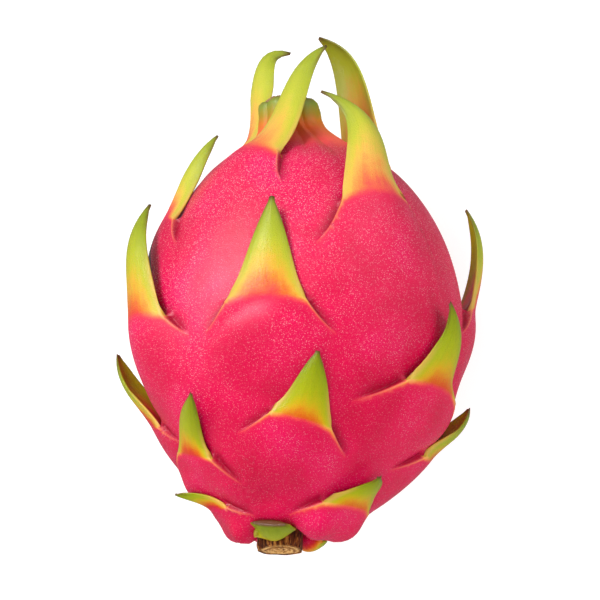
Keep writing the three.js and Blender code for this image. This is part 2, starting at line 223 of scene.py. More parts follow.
# base: turn and height; tip: turn, height and radius; bow and sway: how it bends outwards and sideways
# lean and roll: degrees; slim and full: its outline; reach and drop: its ridges on the left and right
# ripe: the shares of its length where pink ends and where green starts
upperBracts = [
    {"base": (-104, 50), "half": 9.5, "tip": (178, 87.7, 12.8), "bow": 20, "lean": -4, "roll": 45,
     "slim": 0.75, "full": 2, "ripe": (0.0, 0.5)},
    {"base": (-34, 46.5), "half": 10, "tip": (55, 83, 13), "bow": 5, "sway": -8, "lean": 24, "slim": 0.8,
     "full": 2.8, "reach": (15, 19), "drop": (5, 10), "ripe": (-0.25, 0.42), "blush": 0.8},
    {"base": (126, 46), "half": 11.5, "tip": (143, 92, 14.3), "bow": 13, "sway": -4, "stand": 0.35,
     "slim": 0.75, "full": 2, "ripe": (0.1, 0.66)},
    {"base": (31.5, 28.5), "half": 11.5, "tip": (22, 64.8, 23), "bow": 7, "sway": 13, "lean": -11,
     "full": 2.8, "reach": (22, 15), "drop": (11, 17), "ripe": (-0.12, 0.56)},
    {"base": (-12, -2.9), "half": 11, "tip": (-11, 27.2, 44.5), "bow": 2, "lean": 3, "fold": 1.0,
     "reach": (19, 20), "drop": (7, 7), "ripe": (-0.07, 0.5)},
    {"base": (-68, -2), "half": 12, "tip": (-74, 34.4, 44.8), "bow": 8, "lean": 4, "swell": 5, "slim": 0.85,
     "reach": (18, 20), "drop": (6, 5), "ripe": (-0.1, 0.42)},
    {"base": (-76, 28.3), "half": 8.5, "tip": (-70, 56, 24), "bow": 4, "lean": 4, "roll": 20, "slim": 0.9,
     "full": 2.6, "reach": (16, 16), "drop": (6, 8), "ripe": (0.05, 0.42)},
    {"base": (103, 6), "half": 10.5, "tip": (103, 40, 47), "bow": 7, "roll": -5, "swell": 4.6, "stand": 0.3,
     "full": 2, "ripe": (0.12, 0.52)},
    {"base": (61, -21), "half": 12, "tip": (54.5, 1.3, 50), "bow": 3, "sway": 7, "full": 2.2,
     "reach": (26, 22), "drop": (7, 7), "ripe": (-0.08, 0.38)},
    {"base": (2, -33), "half": 8.6, "tip": (6, -17, 46.4), "bow": 2, "lean": 16,
     "reach": (17, 17), "drop": (7, 5), "ripe": (-0.1, 0.34)},
    {"base": (-62, -37.8), "half": 7.2, "tip": (-41.5, -25.3, 44), "bow": 2, "lean": 23, "full": 2.4,
     "reach": (17, 16), "drop": (7, 6), "ripe": (-0.02, 0.38)},
    {"base": (-101, -27), "half": 10, "tip": (-103, -2.2, 53), "bow": 4.5, "roll": -18, "swell": 2.8,
     "slim": 0.8, "full": 2.4, "ripe": (0.2, 0.55)},
    {"base": (99, -35), "half": 10.5, "tip": (102, -18.4, 48.5), "bow": 4, "roll": 20, "swell": 3.2,
     "slim": 0.8, "full": 2.2, "ripe": (-0.05, 0.4)},
    {"base": (55, -51), "half": 9.5, "tip": (44.5, -46.3, 33.2), "sway": 3, "lean": -4, "swell": 2.6,
     "slim": 1.4, "reach": (17, 13), "drop": (4, 4), "ripe": (-0.12, 0.36)},
    {"base": (-80, -51), "half": 6.5, "tip": (-82, -46.6, 33), "reach": (13, 13), "drop": (5, 5),
     "ripe": (0.2, 0.6)},
    {"base": (-34, -55), "arc": 9.5, "half": 3.2, "tip": (-18.5, -57.7, 16), "bow": 5.6, "fan": 1.8,
     "swell": 0, "start": 0.9, "stand": 1, "reach": (4, 4), "drop": (1, 1), "cup": (1.25, 0.1),
     "ripe": (0.2, 0.6)},
    {"base": (140, -55), "arc": 9.5, "half": 3.2, "tip": (143, -58, 13.5), "bow": 5, "fan": 1.3,
     "swell": 0, "start": 0.9, "stand": 1, "reach": (4, 4), "drop": (1, 1), "cup": (0.9, 0.3),
     "ripe": (0.4, 0.8)},
]

# the spiral goes on round the underside: height, half width, length, stand and turns
lowerRings = [
    (-54, 7, 15, 3, (187,)),
    (-38, 9.5, 20, 3, (148, 208)),
    (-15, 10.5, 26, 3.2, (138, 222)),
    (9, 10.5, 27, 4, (-118,)),
    (24, 10.5, 27, 4.5, (145, 198)),
    (47, 9, 23, 5, (188,)),
]
scatter = {"turn": 5, "height": 2, "tipTurn": 4, "seed": 11, "bow": 1.5}


def splineThrough(points, count=4000):
    p = np.array(points, float)
    t = np.linspace(0, len(p) - 1, count)
    i = np.minimum(t.astype(int), len(p) - 2)
    f = (t - i)[:, None]
    before, here, ahead = p[np.maximum(i - 1, 0)], p[i], p[i + 1]
    after = p[np.minimum(i + 2, len(p) - 1)]
    before = np.where((i == 0)[:, None], here, before)
    after = np.where((i + 2 > len(p) - 1)[:, None], ahead, after)
    v0, v1 = (ahead - before) / 2, (after - here) / 2
    cubic, square = 2 * here - 2 * ahead + v0 + v1, 3 * ahead - 3 * here - 2 * v0 - v1
    return cubic * f**3 + square * f**2 + v0 * f + here


profile = splineThrough(skin["profile"])
arcs = np.concatenate([[0], np.cumsum(np.hypot(*np.diff(profile, axis=0).T))])
skinLength = float(arcs[-1])
slopes = np.gradient(profile, arcs, axis=0)
slopes /= np.linalg.norm(slopes, axis=1)[:, None]
wander = splineThrough(skin["wander"])
columnTurn = 360 / skin["columns"]   # degrees
rowLength = skinLength / skin["rows"]
blockHalf = blade["blockRows"] / 2 * rowLength


def profileAt(arc):
    return np.interp(arc, arcs, profile[:, 0]), np.interp(arc, arcs, profile[:, 1])


def slopeAt(arc):
    return np.interp(arc, arcs, slopes[:, 0]), np.interp(arc, arcs, slopes[:, 1])


def axisShift(y):
    return np.interp(y, wander[:, 0], wander[:, 1])


def arcAtHeight(y):
    inside = (arcs > 0.08 * skinLength) & (arcs < 0.96 * skinLength)   # without the two ends, which fold back
    return float(np.interp(y, profile[inside, 1], arcs[inside]))


def lowerBracts():
    state = float(scatter["seed"])

    def draw(size):
        nonlocal state
        state = math.fmod(state * 1103515245.0 + 12345.0, 2147483648.0)
        return (state / 2147483648.0 - 0.5) * 2 * size

    bracts = []
    for level, half, length, stand, turns in lowerRings:
        for middle in turns:
            turn = wrapTurn(middle + draw(scatter["turn"]))
            height = level + draw(scatter["height"])
            tipArc = arcAtHeight(height) + length
            radius, y = profileAt(tipArc)
            outR, outY = slopeAt(tipArc)
            tip = (turn + draw(scatter["tipTurn"]), y - outR * stand, radius + outY * stand)
            bracts.append({"base": (turn, height), "half": half, "tip": tip, "bow": scatter["bow"]})
    return bracts


# where a bract sits on the skin, and where its block of faces lies on the plain grid
def seatOf(bract):
    half = bract["half"]
    arc = bract.get("arc") or arcAtHeight(bract["base"][1])
    radius = float(profileAt(arc)[0])
    fewest, most = blade["blockWide"]
    wide = min(max(fewest, round(2 * half / (math.radians(columnTurn) * radius))), most)
    blockRows = blade["blockRows"]
    return {
        "turn": bract["base"][0], "arc": arc, "radius": radius, "half": half,
        "lean": math.radians(bract.get("lean", 0)),
        "swell": bract.get("swell", half * skin["swellShare"]),
        "reach": bract.get("reach", (half * skin["reachShare"],) * 2),
        "drop": bract.get("drop", (half * skin["dropShare"],) * 2),
        "fold": bract.get("fold", 0),
        "wide": wide,
        "gridTurn": (round(bract["base"][0] / columnTurn - wide / 2) + wide / 2) * columnTurn,
        "gridArc": (round(arc / rowLength - blockRows / 2) + blockRows / 2) * rowLength,
    }


bracts = upperBracts + lowerBracts()
seats = [seatOf(bract) for bract in bracts]
print("bracts placed:", len(bracts))


# where a point of the skin lies from a seat: up and out, how strong its ridge is, along it, and below it
def fromSeat(seat, turn, arc, radius):
    turned = np.radians(wrapTurn(turn - seat["turn"])) * (radius + seat["radius"]) / 2
    along = arc - seat["arc"]
    c, s = math.cos(seat["lean"]), math.sin(seat["lean"])
    across, up = turned * c - along * s, along * c + turned * s
    reach = np.where(across < 0, *seat["reach"])
    drop = np.where(across < 0, *seat["drop"])
    out = np.abs(across)
    near = np.abs(up) < seat["half"] * skin["nearShare"]
    strength = np.clip(1 - (out / reach) ** 2, 0, 1) ** skin["ridgePower"] * near
    flare = np.clip((out - seat["half"]) / (reach - seat["half"]), 0, 1)
    below = -flare * (skin["ridgeBend"] - (skin["ridgeBend"] - 1) * flare) * drop - up
    return up, out, strength, flare, below


def relief(turn, arc, radius, y):
    rise = np.zeros(np.broadcast(turn, arc).shape)
    push = np.zeros(rise.shape)
    for seat in seats:
        half = seat["half"]
        up, out, strength, flare, below = fromSeat(seat, turn, arc, radius)
        step = smoothStep(below, -skin["stepRun"] / 2, skin["stepRun"] / 2)
        fade = 1 - smoothStep(below, 0, half * skin["swellLength"])
        lip = skin["lipHeight"] * bell(below, skin["lipWidth"], skin["lipWidth"])
        rise += (seat["swell"] * fade + lip) * strength * step
        push += seat["swell"] * skin["overhang"] * strength * step * \
            np.exp(-np.maximum(below, 0) / skin["overhangLength"]) * (up < half)
        rise -= half * skin["grooveShare"] * strength * (1 - step) * bell(below, 0, skin["grooveWidth"])
        foldAt = mix(*skin["foldBelow"], smoothStep(out, 0, skin["foldShare"] * half))
        rise -= seat["fold"] * strength * bell(below, foldAt, skin["foldWidth"])
    neck = smoothStep(y, skin["neckStart"], skin["neckFull"])
    away = np.min([np.abs(wrapTurn(turn - seam)) for seam in skin["neckSeams"]], axis=0)
    lobe = 1 - np.exp(-np.radians(away) * radius / skin["lobeWidth"])
    rise += neck * skin["lobeHeight"] * (lobe - skin["lobeSunk"])
    for at, level, height, width in skin["lobes"]:
        away = np.hypot(np.radians(wrapTurn(turn - at)) * radius, arc - arcAtHeight(level))
        rise += height * bell(away, 0, width)
    pleated = (1 - smoothStep(radius, 0, skin["pleatEnd"])) * (y < 0)
    rise += pleated * skin["pleatDepth"] * np.sin(skin["pleats"] * np.radians(turn + skin["pleatPhase"]))
    return rise, push


def skinPoint(turn, arc, lift=0.0, plain=False):
    arc = np.clip(arc, 0, skinLength)
    radius, y = profileAt(arc)
    rise, push = (0, 0) if plain else relief(turn, arc, radius, y)
    rise = lift + rise * (radius > 0.01)
    arc = np.clip(arc + push, 0, skinLength)
    (radius, y), (outR, outY) = profileAt(arc), slopeAt(arc)
    r = radius + outY * rise
    t = np.radians(turn)
    return np.stack([r * np.sin(t) + axisShift(y), y - outR * rise + 0 * t, r * np.cos(t)], -1)


# the plain grid is moved so that a block of faces lies on each bract's base line, and gets finer along
# the ridges
grid = {
    "fadeAcross": 5, "fadeAlong": 6, "slit": 0.05,
    "moveShare": 1.05, "moveExtra": 1.5, "moveFade": 9,
    "fineBelow": 0.1, "fineWidth": 0.95, "fineStart": 0.97, "fineStrength": 0.004, "cuts": 3,
}


def fitGrid(turn, arc):
    moveTurn, moveArc = np.zeros(turn.shape), np.zeros(turn.shape)
    radius = profileAt(arc)[0]
    for seat in seats:
        half = seat["half"]
        widen = 2 * half / (seat["wide"] * math.radians(columnTurn) * seat["radius"])
        turned = np.radians(wrapTurn(turn - seat["gridTurn"])) * (radius + seat["radius"]) / 2 * widen
        along = arc - seat["gridArc"]
        away = np.abs(along)
        near = 1 - smoothStep(np.abs(turned), half, half + grid["fadeAcross"])
        squeeze = (blockHalf - skin["stepRun"] / 2 - grid["slit"]) * \
            (1 - smoothStep(away, blockHalf, blockHalf + grid["fadeAlong"]))
        squeeze = np.where(away < blockHalf, away / blockHalf * squeeze, squeeze)
        pinched = along - np.sign(along) * squeeze * near
        c, s = math.cos(seat["lean"]), math.sin(seat["lean"])
        newArc = seat["arc"] + pinched * c - turned * s
        newTurned = turned * c + pinched * s
        newRadius = profileAt(newArc)[0]
        newTurn = seat["turn"] + np.degrees(newTurned * 2 / (seat["radius"] + newRadius))
        start = half * grid["moveShare"] + grid["moveExtra"]
        weight = 1 - smoothStep(np.hypot(turned, along), start, start + grid["moveFade"])
        moveTurn += weight * wrapTurn(newTurn - turn)
        moveArc += weight * (newArc - arc)
    return turn + moveTurn, arc + moveArc


def bladeOutline(share, bract):
    if "fan" in bract:
        return mix(1, bract["fan"], math.sin(share * math.pi / 2)) * (1 if share < 1 else blade["fanEnd"])
    full = bract.get("full", blade["full"])
    flared = blade["flareShare"] + blade["fullFlare"] * (full - blade["full"])
    flare = flared * math.exp(-share / blade["flareLength"])
    body = (1 - flared) * (1 - share ** full) ** blade["bodyPower"]
    return max((flare + body) ** bract.get("slim", 1), blade["tipShare"])


# a blade's cross-sections, along a curve from its seat to its tip
def bladeSections(bract, seat):
    def point(arc, **how):
        return Vector(skinPoint(np.array(seat["turn"]), arc, **how))

    plain = point(seat["arc"], plain=True)
    lifted = point(seat["arc"], lift=1.0, plain=True)
    base = point(seat["arc"] - blade["setback"]) - (lifted - plain) * blade["ribThickness"] / 2
    outward = (lifted - plain).normalized()
    forward = (point(seat["arc"] + 1, plain=True) - plain).normalized()
    turnBack = Quaternion(outward, -seat["lean"])
    across = turnBack @ forward.cross(outward).normalized()
    forward = (turnBack @ forward).lerp(outward, bract.get("stand", 0)).normalized()
    turn, y, radius = bract["tip"]
    t = math.radians(turn)
    tip = Vector((radius * math.sin(t) + float(axisShift(y)), y, radius * math.cos(t)))
    length = (tip - base).length
    start = base + forward * length * bract.get("start", blade["startShare"])
    bend = base.lerp(tip, blade["bendShare"]) + outward * bract.get("bow", 0) + across * bract.get("sway", 0)
    sections = []
    for row in range(1, blade["rows"] + 1):
        s = (row / blade["rows"]) ** blade["rowPower"]
        r = 1 - s
        centre = base * r ** 3 + start * 3 * s * r ** 2 + bend * 3 * s * s * r + tip * s ** 3
        tangent = (start - base) * r ** 2 + (bend - start) * 2 * s * r + (tip - bend) * s * s
        tangent.normalize()
        side = (across - tangent * across.dot(tangent)).normalized()
        side = Quaternion(tangent, math.radians(bract.get("roll", 0)) * min(1, s / blade["rollEnd"])) @ side
        sections.append({
            "share": s, "centre": centre, "side": side, "normal": side.cross(tangent).normalized(),
            "half": bract["half"] * bladeOutline(s, bract), "fullHalf": bract["half"],
            "cup": bract.get("cup", (blade["cupAtBase"], blade["cupAtTip"])), "fan": "fan" in bract,
            "forward": forward * (centre - base).length,
        })
    return sections


# across and through run from -1 to 1, over the width and the thickness of a blade
def placeOnBlade(section, across, through, start):
    half, s, margin = section["half"], section["share"], blade["marginThickness"]
    rib = mix(blade["ribThickness"], margin, s ** blade["thinPower"])
    thick = mix(rib, margin, across * across) * (1 - blade["tipThin"] * smoothStep(s, blade["tipStart"], 1))
    if section["fan"]:
        thick = mix(*blade["fanThickness"], across * across)
    else:
        thick = min(thick, half * blade["thickLimit"])
    cup = half * mix(*section["cup"], s)
    rounded = 0
    if abs(across) > 0.999:
        rounded = math.copysign(math.sqrt(max(1 - through * through, 0)) * thick / 2, across)
    at = section["centre"] + section["side"] * (across * half + rounded)
    at += section["normal"] * (rib / 2 - cup * across * across - thick * (through + 1) / 2)
    blend = float(smoothStep(s, 0, blade["blendShare"] * (1 - blade["blendSooner"] * (through + 1))))
    carried = start + section["forward"] + section["side"] * across * (half - section["fullHalf"])
    return carried * (1 - blend) + at * blend


# 0 where a bract is still pink, 0.5 where its green starts, and 1 at its tip
def ripeness(share, bract):
    pink, green = bract.get("ripe", blade["ripe"])
    low = 0.5 * (share - pink) / (green - pink)
    high = 0.5 + 0.5 * (share - green) / (1 - green)
    return np.where(share < green, low, high)


# the margins of a bract are riper than its middle
def marginShare(across):
    return blade["marginRise"] * np.minimum(np.abs(across), 1) ** blade["marginPower"]


def turnsOf(places):
    return np.degrees(np.arctan2(places[:, 0], places[:, 2]))


def facePlaces(bm, faces):
    arcLayer = bm.verts.layers.float["arc"]
    turns = turnsOf(np.array([f.calc_center_median() for f in faces]))
    return turns, np.array([sum(v[arcLayer] for v in f.verts) / len(f.verts) for f in faces])


def inBlock(seat, turns, faceArcs):
    near = np.abs(wrapTurn(turns - seat["gridTurn"])) < seat["wide"] / 2 * columnTurn
    return near & (np.abs(faceArcs - seat["gridArc"]) < blockHalf)


def refineGrid(bm):
    faces = bm.faces[:]
    turns, faceArcs = facePlaces(bm, faces)
    taken = np.any([inBlock(seat, turns, faceArcs) for seat in seats], axis=0)
    turns, faceArcs = fitGrid(turns, faceArcs)
    radius = profileAt(faceArcs)[0]
    fine = np.zeros(len(faces), bool)
    for seat in seats:
        up, out, strength, flare, below = fromSeat(seat, turns, faceArcs, radius)
        fine |= (np.abs(below - grid["fineBelow"]) < grid["fineWidth"]) & \
            (out > seat["half"] * grid["fineStart"]) & (strength > grid["fineStrength"])
    fine &= ~taken
    kept = {e for f, block in zip(faces, taken) if block for e in f.edges}
    edges = {e for f, chosen in zip(faces, fine) if chosen for e in f.edges} - kept
    bmesh.ops.subdivide_edges(bm, edges=list(edges), cuts=grid["cuts"], use_grid_fill=True)
    print("skin grid:", len(bm.faces), "faces,", int(fine.sum()), "refined")


# the faces that each blade grows from; their vertices remember where on the blade they belong
def findFeet(bm, turn, arc):
    layers = bm.verts.layers.float
    bractLayer = bm.verts.layers.int["bract"]
    faces = bm.faces[:]
    turns, faceArcs = facePlaces(bm, faces)
    feet = []
    for number, seat in enumerate(seats):
        foot = [faces[i] for i in np.nonzero(inBlock(seat, turns, faceArcs))[0]]
        for v in {v for f in foot for v in f.verts}:
            v[layers["across"]] = wrapTurn(turn[v.index] - seat["gridTurn"]) / (seat["wide"] / 2 * columnTurn)
            v[layers["through"]] = (arc[v.index] - seat["gridArc"]) / blockHalf
            v[layers["number"]] = number
            v[bractLayer] = number + 1
        feet.append(foot)
    return feet


# puts the skin in its place and marks how ripe, pale or bruised it is there, and the painted shade in its
# hollows
def shapeSkin(bm, turn, arc):
    layers = bm.verts.layers.float
    places = skinPoint(turn, arc)
    radius, y = profileAt(arc)
    tone = np.full(turn.shape, -1.0)
    rim, hollowShade = np.zeros(turn.shape), np.zeros(turn.shape)
    for seat, bract in zip(seats, bracts):
        half = seat["half"]
        up, out, strength, flare, below = fromSeat(seat, turn, arc, radius)
        under = np.maximum(below, 0)
        here = marginShare(out / half) * (1 - flare) ** tint["marginPower"]
        here = here * np.exp(-under / tint["marginFade"]) - under / tint["fadeLength"]
        above = 1 - smoothStep(below, *tint["ridgeFade"])
        here = here - 2 * above * smoothStep(out, half, half * tint["ridgeStart"])
        here -= bract.get("blush", 0) * smoothStep(flare, 0, tint["blushEnd"])
        here = np.where(below < tint["top"], -1, here)
        tone = np.maximum(tone, np.where(strength > 0, ripeness(here, bract), -1))
        rim = np.maximum(rim, bell(below, tint["rimBelow"], tint["rimWidth"]) * (1 - flare) *
                         (out > half * tint["rimStart"]))
        # painted shade: the hollow just behind each ridge's crest is darkened, where shade falls
        deep = bell(below, tint["hollowBelow"], tint["hollowWidth"]) * np.minimum(2 * np.sqrt(strength), 1)
        hollowShade = np.maximum(hollowShade, deep * (1 - smoothStep(below, 0, tint["hollowEnd"])))
    mark = tint["bruise"]
    middle = np.interp(y, mark["heights"], mark["turns"])
    away = np.hypot(np.radians(wrapTurn(turn - middle)) * radius, y - np.clip(y, *mark["heights"]))
    bruise = 1 - smoothStep(away, mark["width"] * mark["core"], mark["width"])
    mark = tint["wrinkles"]
    away = np.hypot(np.radians(wrapTurn(turn - mark["turn"])) * radius, arc - mark["arc"])
    wrinkle = np.maximum(1 - smoothStep(away, *mark["width"]), 1 - smoothStep(arc, *mark["pit"]))
    marks = {"tone": tone, "rim": rim, "hollowShade": hollowShade, "height": y, "bruise": bruise, "wrinkle": wrinkle}
    for i, v in enumerate(bm.verts):
        v.co = places[i]
        for name, values in marks.items():
            v[layers[name]] = values[i]


# at its two ends the foot of a blade narrows to a thin margin, on the crest of the skin's ridge
def pinchFeet(bm, feet):
    layers = bm.verts.layers.float
    across, through, tone, hollowShade = (layers[name] for name in ("across", "through", "tone", "hollowShade"))
    for faces in feet:
        foot = {v for f in faces for v in f.verts}
        crest = {round(v[across], 3): v for v in foot if v[through] < -0.99}
        for v in foot:
            edge = crest[round(v[across], 3)]
            narrow = blade["endPinch"] * float(smoothStep(abs(v[across]), blade["pinchStart"], 1.0))
            v.co = v.co.lerp(edge.co, narrow)
            v[tone] = mix(v[tone], edge[tone], narrow)
            # the painted shade of the hollows is carried along with the pinch
            if v[through] < 0.99:
                v[hollowShade] = mix(v[hollowShade], edge[hollowShade], narrow)
        ring = {v for v in foot if v[through] > 0 and abs(v[across]) > blade["joinWidth"]}
        softened = set()
        for _ in range(blade["softRings"]):
            ring = {e.other_vert(v) for v in ring for e in v.link_edges} - foot
            softened |= {v for v in ring if v[hollowShade] > blade["softHollow"]}
        smoothVerts(bm, list(softened), blade["joinPasses"])


# all the blades grow together, one ring of faces at a time
def growBlades(bm, feet):
    layers = bm.verts.layers.float
    bractLayer = bm.verts.layers.int["bract"]
    across, through, along = layers["across"], layers["through"], layers["along"]
    starts = [layers[name] for name in ("startX", "startY", "startZ")]
    sections = [bladeSections(bract, seat) for bract, seat in zip(bracts, seats)]
    grown = [f for faces in feet for f in faces]
    for v in {v for f in grown for v in f.verts}:
        for layer, value in zip(starts, v.co):
            v[layer] = value
    for row in range(blade["rows"]):
        result = bmesh.ops.extrude_face_region(bm, geom=grown)["geom"]
        bmesh.ops.delete(bm, geom=grown, context="FACES")
        grown = [g for g in result if isinstance(g, bmesh.types.BMFace)]
        for v in (g for g in result if isinstance(g, bmesh.types.BMVert)):
            number = v[bractLayer] - 1
            section = sections[number][row]
            q, b, s = v[across], v[through], section["share"]
            v.co = placeOnBlade(section, q, b, Vector([v[layer] for layer in starts]))
            margin = float(smoothStep(abs(q), blade["marginStart"], 1.0))
            dry = s > blade["dryFan"]
            if not section["fan"]:
                dryMargin = smoothStep(s, blade["dryMargin"], 1.0) * margin * blade["dryMarginMost"]
                dry = max(smoothStep(s, blade["dryTip"], 1.0), dryMargin)
            # the hollow mark is painted shade on the inner face by the blade's foot
            for name, value in (
                    ("tone", ripeness(s + marginShare(q) * (1 - s), bracts[number])),
                    ("rim", margin * (1 - smoothStep(s, *blade["rimEnd"])) * blade["rimAmount"]),
                    ("hollowShade", (1 - smoothStep(s, 0, blade["hollowEnd"])) * max(b, 0)),
                    ("inner", (b + 1) / 2), ("dry", dry), ("along", s), ("number", number),
                    ("deep", 1 - smoothStep(bracts[number]["base"][1], *blade["deepHeights"])),
                    ("wrinkle", 0), ("bruise", 0)):
                v[layers[name]] = float(value)
    joins = [v for v in bm.verts
             if v[bractLayer] and v[along] < blade["joinShare"] and abs(v[across]) < blade["joinWidth"]]
    smoothVerts(bm, joins, blade["joinPasses"])
    for name in ("startX", "startY", "startZ"):
        layers.remove(layers[name])
    print("blades grown:", len(feet))


def makeFruit():
    bm = bmesh.new()
    layers = bm.verts.layers.float
    for name in ("arc", "across", "through", "along", "number", "tone", "rim", "hollowShade", "inner", "dry",
                 "height", "bruise", "wrinkle", "deep", "startX", "startY", "startZ"):
        layers.new(name)
    bm.verts.layers.int.new("bract")
    outline = []
    for row in range(skin["rows"] + 1):
        arc = skinLength * row / skin["rows"]
        radius, y = profileAt(arc)
        outline.append((0 if row in (0, skin["rows"]) else radius, y, arc))
    turnOutline(bm, outline, skin["columns"], ["arc"])
    closeSurface(bm)
    refineGrid(bm)

    bm.verts.index_update()
    turn = turnsOf(np.array([v.co for v in bm.verts]))
    arc = np.array([v[layers["arc"]] for v in bm.verts])
    feet = findFeet(bm, turn, arc)
    shapeSkin(bm, *fitGrid(turn, arc))
    pinchFeet(bm, feet)
    growBlades(bm, feet)
    closeSurface(bm)

    # resting on the flat spot
    bmesh.ops.translate(bm, verts=bm.verts[:], vec=fromFruit())
    for v in bm.verts:
        v.co.z = (v.co.z + math.sqrt(v.co.z ** 2 + skin["flatSoftness"] ** 2)) / 2
    openEdges = sum(1 for e in bm.edges if not e.is_manifold)
    print("fruit:", sum(len(f.verts) - 2 for f in bm.faces), "triangles,", openEdges, "open edges")
    finishPiece(bm, "fruitSkin", makeSkinMaterial(), "fruit")


# Pitaya peel: a waxy, leathery rind. It has a soft broad gloss on hot pink with fine pale grains, partly
# painted glints, and its bracts turn orange and yellow, then green, with dry brown tips.
peel = {
    "pinks": [(0.3, "#cc003c"), (0.5, "#de004a"), (0.72, "#ea065c")],
    "cloudSize": 22, "patchSize": 3.5, "streakSize": 1.5,   # mm
    # pale grains: partly the rind's own pale specks, partly painted glints that stand in for the gloss
    "grainAndGlint": "#ffccda",
    "grainSize": 0.24, "dotSpacing": 0.52,   # mm, a little coarser than the real grains so that they show
    "glintsCrownwards": 0.004,   # per mm of height: a painted highlight, as the pale grains and glints lie closer towards the crown, on the lit side
    # masks: from, to, and the amounts there
    "dotMask": (0.36, 0.08), "grainAndGlintMask": (0.58, 1, 0, 0.54), "density": (0.3, 0.66, 0.35, 1.25),
    "veinMask": (0, 0.08, 0, 0.16), "leafMask": (-0.2, 0.14), "neckMask": (0.05, 0.3),
    "insideMask": (0.6, 0.95, 0, 0.85), "bruiseMask": (0.3, 0.75, 0, 0.92),
    "ramp": [(0.0, "#e3204c"), (0.1, "#ee4a48"), (0.2, "#f0803f"), (0.32, "#ecb04a"), (0.44, "#d4be3c"),
             (0.56, "#bcbe30"), (0.78, "#a4ae2a"), (1.0, "#86941e")],
    "veinScale": (4.5, 0.8, 3.7),   # across a blade, along it, and from blade to blade
    "patchAmount": 0.14, "grainStir": 0.2,
    "lower": (0.8, 0.84, 0.06, 1.0),   # the bracts towards the stem are a deeper green
    "insides": [(0.12, "#e0403a"), (0.3, "#b4761c"), (0.5, "#8f900c")],
    "neck": [(0.0, "#e0194c"), (0.34, "#f6504a"), (0.52, "#f0642e"), (0.64, "#d47814"), (0.74, "#a88a12"),
             (0.86, "#80902a"), (0.94, "#7d7a30"), (1.0, "#b98a5c")],
    "neckHeights": (46, 69.5), "neckStreaks": 3.0,   # mm
    "rim": "#f0a860", "rimAmount": 0.6,
    # painted shade: deep red laid in the hollows beside the ridges and at the blades' feet
    "hollowShade": "#9c0328", "hollowShadeAmount": 0.8,
    "bruise": "#3a1218", "bruiseStreaks": 1.2,
    "dry": "#5e3d1e",
    "grainRelief": 0.12, "veinRelief": 3, "wrinkleRelief": 0.7,   # mm
    "roughness": 0.27, "specular": 0.4, "glow": 0.08, "glowDepth": 1.5,   # light that spreads under the wax
}


